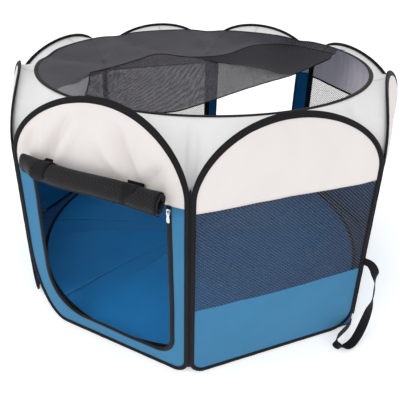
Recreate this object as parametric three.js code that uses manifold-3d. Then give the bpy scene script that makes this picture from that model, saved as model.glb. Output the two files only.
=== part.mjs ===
// A pop-up pet playpen: eight arched fabric walls, each stretched on a closed spring-wire hoop and
// sewn to its neighbours along the corner seams, with a round floor, two doors whose mesh flaps are
// rolled up, and a zipped mesh cover that is open at the front.
// Millimetres, +Z up. The origin is on the ground under the middle of the floor, and the front door
// faces -Y. Walls are numbered anticlockwise from the front door, seen from above, and seam n is the
// corner between wall n and wall n + 1.

import * as THREE from 'three';
import Module from 'manifold-3d';
import { mergeVertices } from 'three/addons/utils/BufferGeometryUtils.js';

// Driving dimensions
const WALLS = 8;
const DOOR_WALLS = { 1: 'front', 5: 'back' };
const CORNER_RADIUS = 575;      // middle of the floor to a corner seam
const SPRING_HEIGHT = 457;      // where a hoop's arch starts
const TOP_HEIGHT = 603;         // hoop wire at the top of its arch
const ARCH_LEAN = 31;           // how far the top of an arch leans in
const LEAN_POWER = 2.5;         // the lean grows with this power of the height above the spring
const FOOT_RADIUS = 34;         // rounding of a hoop's lower corners
const WIRE_RADIUS = 1.5;
const BINDING_DEPTH = 10;       // tape folded over the wire, from its outer edge to its inner edge
const BINDING_HALF = 2.6;       // half of its thickness across the wall
const TAPE = 0.8;               // thickness of the binding tape
const SEAM_GAP = 1.6;           // binding's outer edge to the corner seam
const FABRIC = 1;               // thickness of the woven fabric and of the mesh
const LOWER_SEAM = 185;         // top of the lower fabric, bottom of the mesh window
const UPPER_SEAM = 427;         // top of the mesh window and of the doorway
const DOOR_SEAM = 437;          // the same on the walls with doors, a little higher
const GAP = 0.3;                // clearance between pieces that touch
const FLOOR = 1.2;              // thickness of the floor fabric
const FLOOR_RING = 503;         // radius of the binding round the floor
const FLOOR_RING_WIDTH = 9;
const ZIP_RING = 463.5;         // radius of the zip round the top opening
const ZIP_RING_HEIGHT = 583;
const ZIP_RING_WIDTH = 12;
const ZIP_TAPE_WIDTH = 9;
const ZIP_TAPE = 1.2;
const ROLL_RADIUS = 23;         // the rolled-up door flap
const ROLL_HEIGHT = 453;
const ROLL_ENDS = [-176, 168];
const TIE_PLACES = { left: -109, right: 104 };
const TIE_WIDTH = 38;
const WEBBING = 20;             // width of the closing strap

const ARCH_STEPS = 20;
const FOOT_STEPS = 4;

// Worked out from the driving dimensions
const STEP_ANGLE = (2 * Math.PI) / WALLS;
const HALF_SIDE = CORNER_RADIUS * Math.sin(STEP_ANGLE / 2);
const APOTHEM = CORNER_RADIUS * Math.cos(STEP_ANGLE / 2);
const HOOP_HALF = HALF_SIDE - SEAM_GAP - BINDING_HALF;
const HOOP_FOOT = BINDING_HALF;
const ARCH_RISE = TOP_HEIGHT - SPRING_HEIGHT;
const BINDING_INNER = BINDING_DEPTH - BINDING_HALF;
const FABRIC_INSET = 2.3;       // hoop wire to the edge of the fabric inside the binding
const OUTER_FACE = -FABRIC / 2;

const wasm = await Module();
wasm.setup();

const pen = new THREE.Group();

const finishes = {
  wire: { color: 0x9a9ca0, roughness: 0.35, metalness: 1 },
  binding: { color: 0x1d1b1e, roughness: 0.85, metalness: 0 },
  light: { color: 0xe6e0dc, roughness: 0.8, metalness: 0 },
  blue: { color: 0x3f86bb, roughness: 0.8, metalness: 0 },
  floor: { color: 0x1f68a8, roughness: 0.7, metalness: 0 },
  windowMesh: { color: 0x26303c, roughness: 0.8, metalness: 0 },
  coverMesh: { color: 0x4a4952, roughness: 0.8, metalness: 0 },
  zip: { color: 0x1b1a1c, roughness: 0.8, metalness: 0 },
  metal: { color: 0xb9b9ba, roughness: 0.3, metalness: 1 },
  webbing: { color: 0x161517, roughness: 0.9, metalness: 0 },
};
const materials = Object.fromEntries(
  Object.entries(finishes).map(([name, finish]) => [name, new THREE.MeshStandardMaterial(finish)]),
);

const vec = (x, y, z) => new THREE.Vector3(x, y, z);

function add(parent, name, geometry, material) {
  const mesh = new THREE.Mesh(geometry, materials[material]);
  mesh.name = name;
  parent.add(mesh);
}

// A closed body from its corner points and triangles, turned so that its faces point out.
function solid(points, triangles) {
  const volume = triangles.reduce((sum, [a, b, c]) => {
    return sum + points[a].dot(vec(0, 0, 0).crossVectors(points[b], points[c]));
  }, 0);
  const facing = volume < 0 ? triangles.map(([a, b, c]) => [a, c, b]) : triangles;
  const geometry = new THREE.BufferGeometry().setFromPoints(points);
  geometry.setIndex(facing.flat());
  return geometry;
}

// A body swept through a closed round of sections, each a closed outline of as many points.
function loop(sections) {
  const count = sections[0].length;
  const triangles = [];
  sections.forEach((_, i) => {
    const next = (i + 1) % sections.length;
    for (let j = 0; j < count; j++) {
      const k = (j + 1) % count;
      triangles.push([i * count + j, next * count + j, next * count + k]);
      triangles.push([i * count + j, next * count + k, i * count + k]);
    }
  });
  return solid(sections.flat(), triangles);
}

// A sheet of even thickness over a grid of points. A wrapped sheet closes on itself along its rows.
function sheet(rows, thickness, wrapped = false) {
  const across = rows[0].length;
  const last = rows.length - 1;
  const row = (i) => (wrapped ? (i + rows.length) % rows.length : Math.min(Math.max(i, 0), last));
  const column = (j) => Math.min(Math.max(j, 0), across - 1);
  const faces = [thickness / 2, -thickness / 2].map((offset) =>
    rows.flatMap((points, i) =>
      points.map((point, j) => {
        const along = rows[row(i + 1)][j].clone().sub(rows[row(i - 1)][j]);
        const over = points[column(j + 1)].clone().sub(points[column(j - 1)]);
        return point.clone().addScaledVector(along.cross(over).normalize(), offset);
      }),
    ),
  );
  const under = rows.length * across;
  const triangles = [];
  const quad = (a, b, c, d) => triangles.push([a, b, c], [a, c, d]);
  for (let i = 0; i < (wrapped ? rows.length : last); i++) {
    const here = i * across;
    const next = row(i + 1) * across;
    for (let j = 0; j < across - 1; j++) {
      quad(here + j, here + j + 1, next + j + 1, next + j);
      quad(under + here + j, under + next + j, under + next + j + 1, under + here + j + 1);
    }
    const end = across - 1;
    quad(here, next, under + next, under + here);
    quad(here + end, under + here + end, under + next + end, next + end);
  }
  if (!wrapped) {
    for (let j = 0; j < across - 1; j++) {
      const far = last * across + j;
      quad(j, under + j, under + j + 1, j + 1);
      quad(far, far + 1, under + far + 1, under + far);
    }
  }
  return solid(faces.flat(), triangles);
}

// A plate of a flat outline in a wall's own X and Z, from the front face at y inwards.
function plate(shape, front, thickness, curveSegments = 12) {
  const geometry = new THREE.ExtrudeGeometry(shape, { depth: thickness, bevelEnabled: false, curveSegments });
  return geometry.rotateX(Math.PI / 2).translate(0, front + thickness, 0);
}

// An outline drawn in Y and Z, drawn out along X about its middle.
function bar(shape, middle, length, curveSegments = 12) {
  const geometry = new THREE.ExtrudeGeometry(shape, { depth: length, bevelEnabled: false, curveSegments });
  return geometry.rotateX(Math.PI / 2).rotateZ(Math.PI / 2).translate(middle - length / 2, 0, 0);
}

function manifold(geometry) {
  const bare = geometry.clone();
  bare.deleteAttribute('normal');
  bare.deleteAttribute('uv');
  const merged = mergeVertices(bare, 1e-4);
  const vertProperties = new Float32Array(merged.attributes.position.array);
  const triVerts = new Uint32Array(merged.index.array);
  return new wasm.Manifold(new wasm.Mesh({ numProp: 3, vertProperties, triVerts }));
}

function joined(...geometries) {
  const mesh = geometries.map(manifold).reduce((a, b) => a.add(b)).getMesh();
  const geometry = new THREE.BufferGeometry();
  geometry.setAttribute('position', new THREE.BufferAttribute(mesh.vertProperties, 3));
  geometry.setIndex(new THREE.BufferAttribute(mesh.triVerts, 1));
  return geometry;
}

// The hoop

function lean(z) {
  const rise = Math.max(0, (z - SPRING_HEIGHT) / ARCH_RISE);
  return ARCH_LEAN * rise ** LEAN_POWER;
}

// The right half of a hoop, from its foot up to the top of its arch: places in the wall's X and Z,
// and the direction that points out of the hoop there.
function halfHoop() {
  const places = [];
  for (let i = 0; i <= FOOT_STEPS; i++) {
    const angle = ((i / FOOT_STEPS - 1) * Math.PI) / 2;
    const out = [Math.cos(angle), Math.sin(angle)];
    const x = HOOP_HALF - FOOT_RADIUS + FOOT_RADIUS * out[0];
    places.push({ x, z: HOOP_FOOT + FOOT_RADIUS + FOOT_RADIUS * out[1], out });
  }
  for (let i = 0; i <= ARCH_STEPS / 2; i++) {
    const angle = (i / ARCH_STEPS) * Math.PI;
    const out = vec(Math.cos(angle) / HOOP_HALF, Math.sin(angle) / ARCH_RISE, 0).normalize();
    const x = HOOP_HALF * Math.cos(angle);
    places.push({ x, z: SPRING_HEIGHT + ARCH_RISE * Math.sin(angle), out: [out.x, out.y] });
  }
  return places;
}

const rightHalf = halfHoop();
const leftHalf = rightHalf.slice(0, -1).reverse().map(({ x, z, out }) => ({ x: -x, z, out: [-out[0], out[1]] }));
const hoop = [...rightHalf, ...leftHalf];

// A point beside the hoop wire: so far out of the hoop, and so far towards the inside of the pen.
function beside({ x, z, out }, outwards, inwards) {
  const height = z + out[1] * outwards;
  return vec(x + out[0] * outwards, lean(height) + inwards, height);
}

function hoopWire() {
  const corners = [...Array(6).keys()].map((k) => (k * Math.PI) / 3);
  return loop(
    hoop.map((place) =>
      corners.map((angle) => beside(place, WIRE_RADIUS * Math.cos(angle), WIRE_RADIUS * Math.sin(angle))),
    ),
  );
}

// The tape is folded over the wire and both its edges point into the hoop, with the fabric between.
function hoopBinding() {
  const chamfer = 1.2;
  const inner = BINDING_HALF - TAPE;
  const outline = [
    [-BINDING_INNER, -BINDING_HALF],
    [BINDING_HALF - chamfer, -BINDING_HALF],
    [BINDING_HALF, chamfer - BINDING_HALF],
    [BINDING_HALF, BINDING_HALF - chamfer],
    [BINDING_HALF - chamfer, BINDING_HALF],
    [-BINDING_INNER, BINDING_HALF],
    [-BINDING_INNER, inner],
    [inner, inner],
    [inner, -inner],
    [-BINDING_INNER, -inner],
  ];
  return loop(hoop.map((place) => outline.map(([outwards, inwards]) => beside(place, outwards, inwards))));
}

// The fabric inside a hoop between two heights, edge to edge inside the binding.
function wallFabric(bottom, top) {
  const edge = rightHalf.map((place) => beside(place, -FABRIC_INSET, 0));
  const side = edge[FOOT_STEPS].x;
  const heights = edge.filter((point) => point.z > bottom + 1 && point.z < top - 1 && point.x > 1);
  const rows = [...heights];
  if (bottom > edge[0].z) {
    rows.unshift(vec(side, lean(bottom), bottom));
  } else {
    rows.unshift(edge[0]);
  }
  if (top < SPRING_HEIGHT) {
    rows.push(vec(side, lean(top), top));
  }
  return sheet(rows.map((point) => [vec(-point.x, point.y, point.z), point]), FABRIC);
}

// The doorway: straight sides, a wide curve at the lower left and a tighter one at the lower right.
const DOOR = {
  left: -161, leftTop: -165, right: 180, rightTop: 176, sill: 45, bend: 160, wide: 92, tight: 46, slant: 190,
};

function doorPath(target) {
  target.moveTo(DOOR.leftTop, DOOR_SEAM - GAP);
  target.lineTo(DOOR.left, DOOR.bend);
  const wideMiddle = DOOR.left + DOOR.wide;
  target.absellipse(wideMiddle, DOOR.bend, DOOR.wide, DOOR.bend - DOOR.sill, Math.PI, 1.5 * Math.PI, false);
  target.lineTo(DOOR.right - DOOR.tight, DOOR.sill);
  target.absarc(DOOR.right - DOOR.tight, DOOR.sill + DOOR.tight, DOOR.tight, -Math.PI / 2, 0, false);
  target.lineTo(DOOR.right, DOOR.slant);
  target.lineTo(DOOR.rightTop, DOOR_SEAM - GAP);
  return target;
}

// The blue fabric on both sides of the doorway and under it.
function doorSurround() {
  const edge = rightHalf.slice(0, FOOT_STEPS + 1).map((place) => beside(place, -FABRIC_INSET, 0));
  const shape = doorPath(new THREE.Shape());
  shape.lineTo(edge[FOOT_STEPS].x, DOOR_SEAM - GAP);
  [...edge].reverse().forEach(({ x, z }) => shape.lineTo(x, z));
  edge.forEach(({ x, z }) => shape.lineTo(-x, z));
  shape.lineTo(-edge[FOOT_STEPS].x, DOOR_SEAM - GAP);
  return plate(shape, OUTER_FACE, FABRIC);
}

// The zip tape along the doorway's edge, on the outside of the fabric.
function doorZip() {
  const outline = doorPath(new THREE.Path()).getPoints(9);
  const middle = outline.filter((point, i) => i === 0 || point.distanceTo(outline[i - 1]) > 1);
  const y = OUTER_FACE - GAP - ZIP_TAPE / 2;
  const rows = middle.map((point, i) => {
    const before = middle[Math.max(i - 1, 0)];
    const after = middle[Math.min(i + 1, middle.length - 1)];
    const along = after.clone().sub(before).normalize();
    return [-1, 1].map((side) => {
      const reach = (side * ZIP_TAPE_WIDTH) / 2;
      return vec(point.x + along.y * reach, y, point.y - along.x * reach);
    });
  });
  return sheet(rows, ZIP_TAPE);
}

const TIE_BAND = 1.2;
const TIE_TAB_TOP = 488;
const ROLL_Y = OUTER_FACE - GAP - TIE_BAND - GAP - ROLL_RADIUS;

function doorRoll() {
  const length = ROLL_ENDS[1] - ROLL_ENDS[0];
  const geometry = new THREE.CylinderGeometry(ROLL_RADIUS, ROLL_RADIUS, length, 20);
  return geometry.rotateZ(Math.PI / 2).translate((ROLL_ENDS[0] + ROLL_ENDS[1]) / 2, ROLL_Y, ROLL_HEIGHT);
}

// A tie is a band round the roll, with a tab that is sewn to the fabric above it.
function doorTie(place) {
  const inner = ROLL_RADIUS + GAP;
  const outer = inner + TIE_BAND;
  const tabFront = OUTER_FACE - GAP - TIE_BAND;
  const start = Math.acos((tabFront - ROLL_Y) / outer);
  const shape = new THREE.Shape();
  shape.moveTo(tabFront, TIE_TAB_TOP);
  shape.absarc(ROLL_Y, ROLL_HEIGHT, outer, start, 2 * Math.PI, false);
  shape.lineTo(ROLL_Y + outer, TIE_TAB_TOP);
  shape.holes.push(new THREE.Path().absarc(ROLL_Y, ROLL_HEIGHT, inner, 0, 2 * Math.PI, true));
  return bar(shape, place, TIE_WIDTH);
}

// A zip slider, drawn with its zip along Z and its front towards -Y, and its back face at y = 0. Its
// bail is a ring that stands on the front, and the pull's cross bar passes through it.
const SLIDER = { width: 9, length: 12, depth: 3.2 };
const SLIDER_DROP = 12;         // door slider below the upper seam, where the flap is all open
const BAIL = { width: 2, inner: 1.6, outer: 2.6, middle: vec(0, -SLIDER.depth - 1.7, 0) };
const PULL = { width: 7, length: 24, thickness: 1, holeHalf: 1.8, holeLength: 3 };

function sliderBody() {
  const { width, length, depth } = SLIDER;
  const face = new THREE.Shape();
  face.moveTo(-width * 0.3, -length / 2);
  face.lineTo(width * 0.3, -length / 2);
  face.lineTo(width / 2, length * 0.1);
  face.quadraticCurveTo(width / 2, length / 2, width * 0.2, length / 2);
  face.lineTo(-width * 0.2, length / 2);
  face.quadraticCurveTo(-width / 2, length / 2, -width / 2, length * 0.1);
  const bail = new THREE.Shape().absarc(BAIL.middle.y, 0, BAIL.outer, 0, 2 * Math.PI, false);
  bail.holes.push(new THREE.Path().absarc(BAIL.middle.y, 0, BAIL.inner, 0, 2 * Math.PI, true));
  return joined(plate(face, -depth, depth, 4), bar(bail, 0, BAIL.width, 8));
}

// The pull hangs down, with its origin in the middle of its cross bar.
function pullTab() {
  const { width, length, thickness, holeHalf, holeLength } = PULL;
  const top = thickness / 2;
  const waist = width * 0.36;
  const shape = new THREE.Shape();
  shape.moveTo(-width / 2, top);
  shape.lineTo(-width / 2, -holeLength - 2 * top);
  shape.lineTo(-waist, -length * 0.4);
  shape.lineTo(-width / 2, -length * 0.62);
  shape.absarc(0, -length + width / 2, width / 2, Math.PI, 2 * Math.PI, false);
  shape.lineTo(width / 2, -length * 0.62);
  shape.lineTo(waist, -length * 0.4);
  shape.lineTo(width / 2, -holeLength - 2 * top);
  shape.lineTo(width / 2, top);
  const hole = new THREE.Path();
  hole.moveTo(-holeHalf, -top);
  hole.lineTo(holeHalf, -top);
  hole.lineTo(holeHalf, -top - holeLength);
  hole.lineTo(-holeHalf, -top - holeLength);
  shape.holes.push(hole);
  return plate(shape, -thickness / 2, thickness, 6);
}

// Walls

function addDoor(wall, side) {
  add(wall, `${side}_door_surround`, doorSurround(), 'blue');
  add(wall, `${side}_door_zip`, doorZip(), 'zip');
  add(wall, `${side}_door_flap_roll`, doorRoll(), 'windowMesh');
  for (const [name, place] of Object.entries(TIE_PLACES)) {
    add(wall, `${side}_door_tie_${name}`, doorTie(place), 'webbing');
  }
  const slider = new THREE.Group();
  const slope = Math.atan2(DOOR.right - DOOR.rightTop, DOOR_SEAM - DOOR.slant);
  const face = OUTER_FACE - GAP - ZIP_TAPE - GAP;
  slider.position.set(DOOR.rightTop + SLIDER_DROP * Math.tan(slope), face, DOOR_SEAM - SLIDER_DROP);
  slider.rotation.y = -slope;
  wall.add(slider);
  add(slider, `${side}_door_slider`, sliderBody(), 'metal');
  const pull = new THREE.Group();
  pull.position.copy(BAIL.middle);
  slider.add(pull);
  add(pull, `${side}_door_pull`, pullTab(), 'metal');
}

for (let number = 1; number <= WALLS; number++) {
  const turned = new THREE.Group();
  turned.rotation.z = (number - 1) * STEP_ANGLE;
  pen.add(turned);
  const wall = new THREE.Group();
  wall.position.y = -APOTHEM;
  turned.add(wall);
  add(wall, `hoop_wire_${number}`, hoopWire(), 'wire');
  add(wall, `hoop_binding_${number}`, hoopBinding(), 'binding');
  add(wall, `upper_fabric_${number}`, wallFabric((DOOR_WALLS[number] ? DOOR_SEAM : UPPER_SEAM) + GAP, TOP_HEIGHT), 'light');
  if (DOOR_WALLS[number]) {
    addDoor(wall, DOOR_WALLS[number]);
  } else {
    add(wall, `mesh_window_${number}`, wallFabric(LOWER_SEAM + GAP, UPPER_SEAM - GAP), 'windowMesh');
    add(wall, `lower_fabric_${number}`, wallFabric(0, LOWER_SEAM - GAP), 'blue');
  }
}

// A place in the pen: so far from its axis, at an angle from -Y towards +X, and a height.
function polar(radius, angle, height) {
  return vec(radius * Math.sin(angle), -radius * Math.cos(angle), height);
}

// The light yoke runs from the inner side of the arches up and in to the zip round the top opening.
const YOKE_START = FOOT_STEPS + 3;  // the first place on a half hoop that it is sewn to

function yoke() {
  const edge = ZIP_RING + ZIP_RING_WIDTH / 2 + GAP + 0.2;
  const arch = rightHalf.slice(YOKE_START).reverse();
  const rows = [];
  for (let number = 0; number < WALLS; number++) {
    const turn = number * STEP_ANGLE;
    const half = (sign) => arch.map(({ x, z, out }) => ({ x: sign * x, z, out: [sign * out[0], out[1]] }));
    const places = [...half(-1).reverse().slice(0, -1), ...half(1)];
    places.forEach((place) => {
      const point = beside(place, -1, BINDING_HALF + 2 * GAP + FABRIC / 2);
      point.y -= APOTHEM;
      const angle = Math.atan2(point.x, -point.y) + turn;
      const outer = polar(Math.hypot(point.x, point.y), angle, point.z);
      rows.push([outer, polar(edge, angle, ZIP_RING_HEIGHT)]);
    });
  }
  return sheet(rows, FABRIC, true);
}

function ringOf(radius, width, bottom, thickness, segments) {
  const profile = [
    [radius - width / 2, bottom],
    [radius + width / 2, bottom],
    [radius + width / 2, bottom + thickness],
    [radius - width / 2, bottom + thickness],
    [radius - width / 2, bottom],
  ].map(([r, z]) => new THREE.Vector2(r, z));
  return new THREE.LatheGeometry(profile, segments).rotateX(Math.PI / 2);
}

// The mesh cover is zipped to the ring round the left and the back. From a fold line it hangs down
// into the pen, to its free edge.
const COVER = {
  thickness: 1.5,
  start: THREE.MathUtils.degToRad(-24),
  end: THREE.MathUtils.degToRad(-227),
  rows: 15,
  sag: 14,
  fold: [
    vec(-260, -200, 562),
    vec(-215, -60, 552),
    vec(-150, 60, 548),
    vec(-50, 150, 548),
    vec(50, 260, 550),
    vec(180, 320, 556),
    vec(290, 300, 570),
  ],
  hem: [
    vec(-250, -260, 540),
    vec(-130, -210, 492),
    vec(-10, -160, 470),
    vec(80, 0, 468),
    vec(150, 170, 480),
    vec(230, 250, 505),
    vec(300, 280, 545),
  ],
};

function cover() {
  const rim = ZIP_RING - ZIP_RING_WIDTH / 2 - 2;
  const fold = new THREE.CatmullRomCurve3(COVER.fold);
  const hem = new THREE.CatmullRomCurve3(COVER.hem);
  const rows = [];
  for (let i = 0; i < COVER.rows; i++) {
    const share = i / (COVER.rows - 1);
    const edge = polar(rim, THREE.MathUtils.lerp(COVER.start, COVER.end, share), ZIP_RING_HEIGHT + 1);
    const crease = fold.getPoint(share);
    const middle = edge.clone().lerp(crease, 0.5);
    middle.z -= COVER.sag;
    const free = hem.getPoint(share);
    rows.push([edge, middle, crease, crease.clone().lerp(free, 0.5), free]);
  }
  return sheet(rows, COVER.thickness);
}

add(pen, 'yoke', yoke(), 'light');
add(pen, 'top_zip_ring', ringOf(ZIP_RING, ZIP_RING_WIDTH, ZIP_RING_HEIGHT - 0.5, ZIP_TAPE, 64), 'zip');
add(pen, 'mesh_cover', cover(), 'coverMesh');

// The cover's slider stands where the zip is open from, at the right of the back.
const COVER_SLIDER_ANGLE = THREE.MathUtils.degToRad(129.6);
const coverSlider = new THREE.Group();
coverSlider.position.copy(polar(ZIP_RING, COVER_SLIDER_ANGLE, ZIP_RING_HEIGHT - 0.5 + ZIP_TAPE + GAP));
coverSlider.rotation.set(-Math.PI / 2, 0, COVER_SLIDER_ANGLE + Math.PI / 2, 'ZYX');
pen.add(coverSlider);
add(coverSlider, 'cover_slider', sliderBody(), 'metal');
const coverPull = new THREE.Group();
coverPull.position.copy(BAIL.middle);
coverSlider.add(coverPull);
add(coverPull, 'cover_pull', pullTab(), 'metal');

// The floor: a round sheet, its binding, and the border between the binding and the walls.
const ringInner = FLOOR_RING - FLOOR_RING_WIDTH / 2 - GAP;
const ringOuter = FLOOR_RING + FLOOR_RING_WIDTH / 2 + GAP;
const disc = new THREE.CylinderGeometry(ringInner, ringInner, FLOOR, 64);
add(pen, 'floor_panel', disc.rotateX(Math.PI / 2).translate(0, 0, FLOOR / 2), 'floor');
add(pen, 'floor_binding', ringOf(FLOOR_RING, FLOOR_RING_WIDTH, 0, 2.2, 64), 'binding');

function floorBorder() {
  const reach = (APOTHEM - BINDING_HALF - 2 * GAP) / Math.cos(STEP_ANGLE / 2);
  const shape = new THREE.Shape();
  for (let corner = 0; corner < WALLS; corner++) {
    const { x, y } = polar(reach, (corner + 0.5) * STEP_ANGLE, 0);
    if (corner === 0) {
      shape.moveTo(x, y);
    } else {
      shape.lineTo(x, y);
    }
  }
  shape.holes.push(new THREE.Path().absarc(0, 0, ringOuter, 0, 2 * Math.PI, true));
  return new THREE.ExtrudeGeometry(shape, { depth: FLOOR, bevelEnabled: false, curveSegments: 32 });
}
add(pen, 'floor_border', floorBorder(), 'floor');

// The closing strap is a loop of webbing sewn to seam 2 at both ends. Its route is given as the
// distance out from the seam, the distance along towards wall 3 and the height, with the direction
// of its width in the same terms.
const STRAP_SEAM = 1.5 * STEP_ANGLE;
const STRAP_ROUTE = [
  { at: [7, 0, 203], wide: [0, 0, 1] },
  { at: [18, 3, 201], wide: [-0.1, 0.1, 1] },
  { at: [28, 6, 185], wide: [0.3, 0.5, 0.7] },
  { at: [34, 7, 156], wide: [0.5, 0.8, 0.2] },
  { at: [37, 4, 118], wide: [0.3, 1, 0] },
  { at: [37, -4, 78], wide: [0.5, 0.9, 0.1] },
  { at: [37, -18, 45], wide: [0.8, 0.6, 0.2] },
  { at: [37, -40, 20], wide: [1, 0.3, 0.25] },
  { at: [35, -64, 9], wide: [1, 0.2, 0.1] },
  { at: [27, -87, 9], wide: [0.9, 0.5, 0.25] },
  { at: [13, -95, 14], wide: [0.5, 0.3, 0.8] },
  { at: [7, -82, 19], wide: [0.1, 0, 1] },
  { at: [6, -56, 19], wide: [0, 0, 1] },
  { at: [6, -30, 19], wide: [0, 0, 1] },
  { at: [5, -9, 18], wide: [0, 0, 1] },
];

function strap() {
  const out = polar(1, STRAP_SEAM, 0);
  const side = vec(Math.cos(STRAP_SEAM), Math.sin(STRAP_SEAM), 0);
  const turned = ([a, b, c]) => vec(0, 0, c).addScaledVector(out, a).addScaledVector(side, b);
  const seam = polar(CORNER_RADIUS, STRAP_SEAM, 0);
  const middle = new THREE.CatmullRomCurve3(STRAP_ROUTE.map(({ at }) => turned(at).add(seam)));
  const width = new THREE.CatmullRomCurve3(STRAP_ROUTE.map(({ wide }) => turned(wide)));
  const steps = 3 * (STRAP_ROUTE.length - 1);
  const rows = [];
  for (let i = 0; i <= steps; i++) {
    const point = middle.getPoint(i / steps);
    const along = middle.getTangent(i / steps);
    const across = width.getPoint(i / steps);
    across.addScaledVector(along, -across.dot(along)).normalize();
    rows.push([-WEBBING / 2, WEBBING / 2].map((reach) => point.clone().addScaledVector(across, reach)));
  }
  return sheet(rows, 1.4);
}
add(pen, 'closing_strap', strap(), 'webbing');

export default pen;
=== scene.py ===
import math

import bpy
import numpy as np
from mathutils import Matrix, Vector


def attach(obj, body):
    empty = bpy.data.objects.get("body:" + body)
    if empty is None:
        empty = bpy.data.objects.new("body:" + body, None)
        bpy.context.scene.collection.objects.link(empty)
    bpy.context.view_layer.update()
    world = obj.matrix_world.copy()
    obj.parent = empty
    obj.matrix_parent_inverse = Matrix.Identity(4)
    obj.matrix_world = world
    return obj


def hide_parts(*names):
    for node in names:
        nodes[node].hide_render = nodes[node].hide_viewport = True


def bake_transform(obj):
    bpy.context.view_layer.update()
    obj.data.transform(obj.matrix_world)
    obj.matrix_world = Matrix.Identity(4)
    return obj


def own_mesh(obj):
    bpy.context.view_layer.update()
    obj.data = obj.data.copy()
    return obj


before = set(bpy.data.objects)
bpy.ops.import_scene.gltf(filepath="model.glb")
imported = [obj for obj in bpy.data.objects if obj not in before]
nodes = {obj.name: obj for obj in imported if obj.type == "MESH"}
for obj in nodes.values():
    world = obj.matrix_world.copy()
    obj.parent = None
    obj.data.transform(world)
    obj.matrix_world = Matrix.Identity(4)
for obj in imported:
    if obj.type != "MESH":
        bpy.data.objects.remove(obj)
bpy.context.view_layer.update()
scene = bpy.context.scene
scene.view_settings.view_transform = "Standard"

# The pen's driving sizes, in metres, as the CAD model has them
WALLS = range(1, 9)
DOORS = {1: "front", 5: "back"}
OPEN_SEAM = 4
STEP = math.tau / 8
RADIUS = 0.575
APOTHEM = RADIUS * math.cos(STEP / 2)
HALF_SIDE = RADIUS * math.sin(STEP / 2)
SPRING = 0.457
TOP = 0.603
LEAN = 0.031
LEAN_POWER = 2.5
FOOT = 0.034
TAPE_OUT = 0.0026
WIRE_RADIUS = 0.0015
HOOP_HALF = HALF_SIDE - 0.0016 - TAPE_OUT
RISE = TOP - SPRING
# The photo shows some arches a little higher or lower than the rest
RISES = {1: RISE + 0.009, 2: RISE - 0.005, 4: RISE - 0.010, 5: RISE + 0.006}
# Some feet are drawn in to a wider curve: by wall and side, how wide and how high
WIDE_FEET = {(1, -1): (0.088, 0.215), (8, 1): (0.088, 0.215), (2, 1): (0.060, 0.056), (3, -1): (0.060, 0.056)}
LOWER_SEAM = 0.185
UPPER_SEAM = 0.427
DOOR_SEAM = 0.437  # the same seam on the walls with doors
RING = 0.4635
RING_HEIGHT = 0.583
COVER_START, COVER_END = math.radians(-24), math.radians(-226)
FLOOR_RING = 0.507


# ---------------------------------------------------------------- camera

def place_camera():
    """The photo's own viewpoint, fitted to the arches, the seams and the top opening."""
    azimuth, distance, height, aside = math.radians(24.93), 1.267, 0.897, -0.0116
    pitch, roll = math.radians(23.45), math.radians(0.91)
    right = Vector((math.cos(azimuth), math.sin(azimuth), 0))
    back = Vector((math.sin(azimuth), -math.cos(azimuth), 0))
    data = bpy.data.cameras.new("camera")
    camera = bpy.data.objects.new("camera", data)
    scene.collection.objects.link(camera)
    camera.location = back * distance + right * aside + Vector((0, 0, height))
    look = Matrix.Rotation(azimuth, 4, "Z") @ Matrix.Rotation(math.pi / 2 - pitch, 4, "X")
    camera.rotation_euler = (look @ Matrix.Rotation(roll, 4, "Z")).to_euler()
    data.sensor_width = 36
    data.lens = 39.51
    data.shift_x = 0.00425
    data.shift_y = -0.1685
    data.clip_start, data.clip_end = 0.05, 60
    scene.camera = camera


place_camera()


# ---------------------------------------------------------------- materials

def material(name):
    made = bpy.data.materials.new(name)
    made.use_nodes = True
    tree = made.node_tree
    tree.nodes.clear()

    def add(kind, inputs=None, **settings):
        node = tree.nodes.new(kind)
        for key, value in settings.items():
            setattr(node, key, value)
        for key, value in (inputs or {}).items():
            if isinstance(value, bpy.types.NodeSocket):
                tree.links.new(value, node.inputs[key])
            else:
                node.inputs[key].default_value = value
        return node

    return made, add


def colour4(colour, factor=1.0):
    return tuple(min(1.0, c * factor) for c in colour) + (1.0,)


def maths(add, operation, a, b=None, clamp=False):
    node = add("ShaderNodeMath", {0: a}, operation=operation, use_clamp=clamp)
    if b is not None:
        if isinstance(b, bpy.types.NodeSocket):
            node.id_data.links.new(b, node.inputs[1])
        else:
            node.inputs[1].default_value = b
    return node.outputs[0]


def axes_of(add):
    coordinate = add("ShaderNodeTexCoord").outputs["Object"]
    split = add("ShaderNodeSeparateXYZ", {0: coordinate})
    return coordinate, split.outputs


def stripes(add, axis, period):
    return maths(add, "SINE", maths(add, "MULTIPLY", axis, math.tau / period))


def mottled(add, coordinate, colour, spread, scale):
    """A colour that is a little uneven."""
    noise = add("ShaderNodeTexNoise", {"Vector": coordinate, "Scale": scale, "Detail": 4.0, "Roughness": 0.6})
    ramp = add("ShaderNodeMapRange", {"Value": noise.outputs[0], "From Min": 0.3, "From Max": 0.7})
    return add(
        "ShaderNodeMix",
        {0: ramp.outputs[0], 6: colour4(colour, 1 - spread), 7: colour4(colour, 1 + spread)},
        data_type="RGBA",
    ).outputs[2]


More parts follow.
